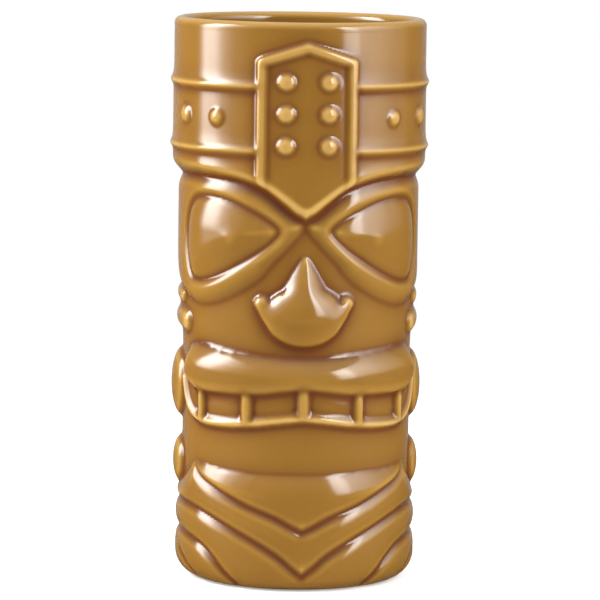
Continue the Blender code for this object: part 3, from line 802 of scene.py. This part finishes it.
def softbox(name, near, far, lean, strength, across, upward):
    """A lit panel between two (azimuth, distance) places, graded across and upwards.

    Its far edge leans by some degrees at the top.
    """
    m = bpy.data.materials.new(name)
    m.use_nodes = True
    nt = m.node_tree
    nt.nodes.clear()
    lit = nt.nodes.new("ShaderNodeEmission")
    uv = nt.nodes.new("ShaderNodeUVMap")
    split = nt.nodes.new("ShaderNodeSeparateXYZ")
    nt.links.new(uv.outputs[0], split.inputs[0])
    graded = []
    for axis, stops in enumerate((across, upward)):
        node = set_ramp(nt.nodes.new("ShaderNodeValToRGB"), stops)
        nt.links.new(split.outputs[axis], node.inputs[0])
        graded.append(node.outputs[0])
    both = math_node(nt, "MULTIPLY", *graded)
    nt.links.new(math_node(nt, "MULTIPLY", both, strength), lit.inputs["Strength"])
    out = nt.nodes.new("ShaderNodeOutputMaterial")
    nt.links.new(lit.outputs[0], out.inputs["Surface"])
    quad = []
    leaning = (far[0] + lean, far[1])
    outline = ((near, PANEL_FOOT), (far, PANEL_FOOT), (leaning, PANEL_TOP), (near, PANEL_TOP))
    for (azimuth, away), z in outline:
        turn = math.radians(azimuth - YAW)
        quad.append((away * math.sin(turn), -away * math.cos(turn), z))
    flat_stage(name, quad, m).visible_camera = False


RISE = [(0, 0.0), (0.07, 0.23), (0.13, 0.46), (0.22, 0.62), (0.4, 0.8), (0.6, 1.0), (1, 0.95)]
LEFT_PANEL = [(0, 0.0), (0.09, 0.3), (0.15, 0.9), (0.2, 1.0), (0.36, 1.0), (0.5, 0.35), (0.66, 0.1),
              (1, 0.0)]
RIGHT_PANEL = [(0, 0.0), (0.32, 0.16), (0.5, 0.36), (0.7, 0.5), (0.76, 1.0), (0.92, 0.8), (1, 0.1)]
softbox("left_panel", (-104, 0.6), (-44, 0.6), 14, 18.0, LEFT_PANEL, RISE)
softbox("right_panel", (118, 0.6), (38, 0.7), -6, 13.2, RIGHT_PANEL, RISE)


def stage_floor():
    """A plain white floor that fades out before it reaches the background."""
    m = bpy.data.materials.new("floor_white")
    m.use_nodes = True
    nt = m.node_tree
    p = nt.nodes["Principled BSDF"]
    p.inputs["Base Color"].default_value = (0.92, 0.92, 0.92, 1)
    p.inputs["Roughness"].default_value = 0.9
    p.inputs["Emission Color"].default_value = (1, 1, 1, 1)
    p.inputs["Emission Strength"].default_value = 0.3
    place = nt.nodes.new("ShaderNodeTexCoord")
    length = nt.nodes.new("ShaderNodeVectorMath")
    length.operation = "LENGTH"
    nt.links.new(place.outputs["Object"], length.inputs[0])
    fade = set_ramp(nt.nodes.new("ShaderNodeValToRGB"), [(0.3, 1.0), (0.68, 0.0)])
    nt.links.new(length.outputs["Value"], fade.inputs[0])
    nt.links.new(fade.outputs[0], p.inputs["Alpha"])
    quad = [(-FLOOR_REACH, -FLOOR_REACH, 0), (FLOOR_REACH, -FLOOR_REACH, 0),
            (FLOOR_REACH, FLOOR_REACH, 0), (-FLOOR_REACH, FLOOR_REACH, 0)]
    flat_stage("floor", quad, m).visible_glossy = False


# The room's light: round the walls from the front to the back, up to the ceiling, and below the horizon.
WALLS = [(0.0, 0.1), (0.15, 0.2), (0.3, 0.4), (0.5, 0.32), (0.77, 0.12), (0.87, 0.2), (0.95, 0.4),
         (1.0, 0.5)]
CEILING = [(0.15, 0.0), (0.5, 0.2), (1.0, 0.6)]
BELOW = [(0.25, 0.3), (0.5, 1.0)]


def studio_world():
    """White to the eye. As light it is a dim room with a pale ceiling and a lit back wall."""
    world = bpy.data.worlds.new("studio")
    bpy.context.scene.world = world
    world.use_nodes = True
    nt = world.node_tree
    place = nt.nodes.new("ShaderNodeTexCoord")
    split = nt.nodes.new("ShaderNodeSeparateXYZ")
    nt.links.new(place.outputs["Generated"], split.inputs[0])
    walls = set_ramp(nt.nodes.new("ShaderNodeValToRGB"), WALLS)
    nt.links.new(math_node(nt, "MULTIPLY_ADD", split.outputs[1], 0.5, 0.5), walls.inputs[0])
    ceiling = set_ramp(nt.nodes.new("ShaderNodeValToRGB"), CEILING)
    nt.links.new(split.outputs[2], ceiling.inputs[0])
    lower = set_ramp(nt.nodes.new("ShaderNodeValToRGB"), BELOW)
    nt.links.new(math_node(nt, "ADD", split.outputs[2], 0.5), lower.inputs[0])
    dimmed = math_node(nt, "MULTIPLY", walls.outputs[0], lower.outputs[0])
    mix = nt.nodes.new("ShaderNodeMix")
    mix.data_type = "RGBA"
    seen = nt.nodes.new("ShaderNodeLightPath")
    nt.links.new(seen.outputs["Is Camera Ray"], mix.inputs["Factor"])
    nt.links.new(math_node(nt, "ADD", dimmed, ceiling.outputs[0]), mix.inputs[COLOUR_A])
    mix.inputs[COLOUR_B].default_value = (1, 1, 1, 1)
    nt.links.new(mix.outputs[COLOUR_RESULT], nt.nodes["Background"].inputs["Color"])


def aim_camera():
    """A long lens a good metre away, a little above the mug and looking slightly down."""
    level = math.cos(CAMERA_PITCH)
    aside, ahead = math.sin(CAMERA_PAN) * level, math.cos(CAMERA_PAN) * level
    forward = Vector((aside, ahead, -math.sin(CAMERA_PITCH)))
    right = Matrix.Rotation(-CAMERA_ROLL, 3, forward) @ forward.cross(Vector((0, 0, 1))).normalized()
    up = right.cross(forward)
    pose = Matrix((right, up, -forward)).transposed().to_4x4()
    pose.translation = Vector((0, -CAMERA_AWAY, CAMERA_HEIGHT))
    lens = bpy.data.cameras.new("camera")
    lens.sensor_width = SENSOR
    lens.lens = LENS
    camera = bpy.data.objects.new("camera", lens)
    camera.matrix_world = Matrix.Rotation(-math.radians(YAW), 4, "Z") @ pose
    bpy.context.scene.collection.objects.link(camera)
    bpy.context.scene.camera = camera


stage_floor()
studio_world()
aim_camera()
bpy.context.scene.view_settings.view_transform = "Standard"
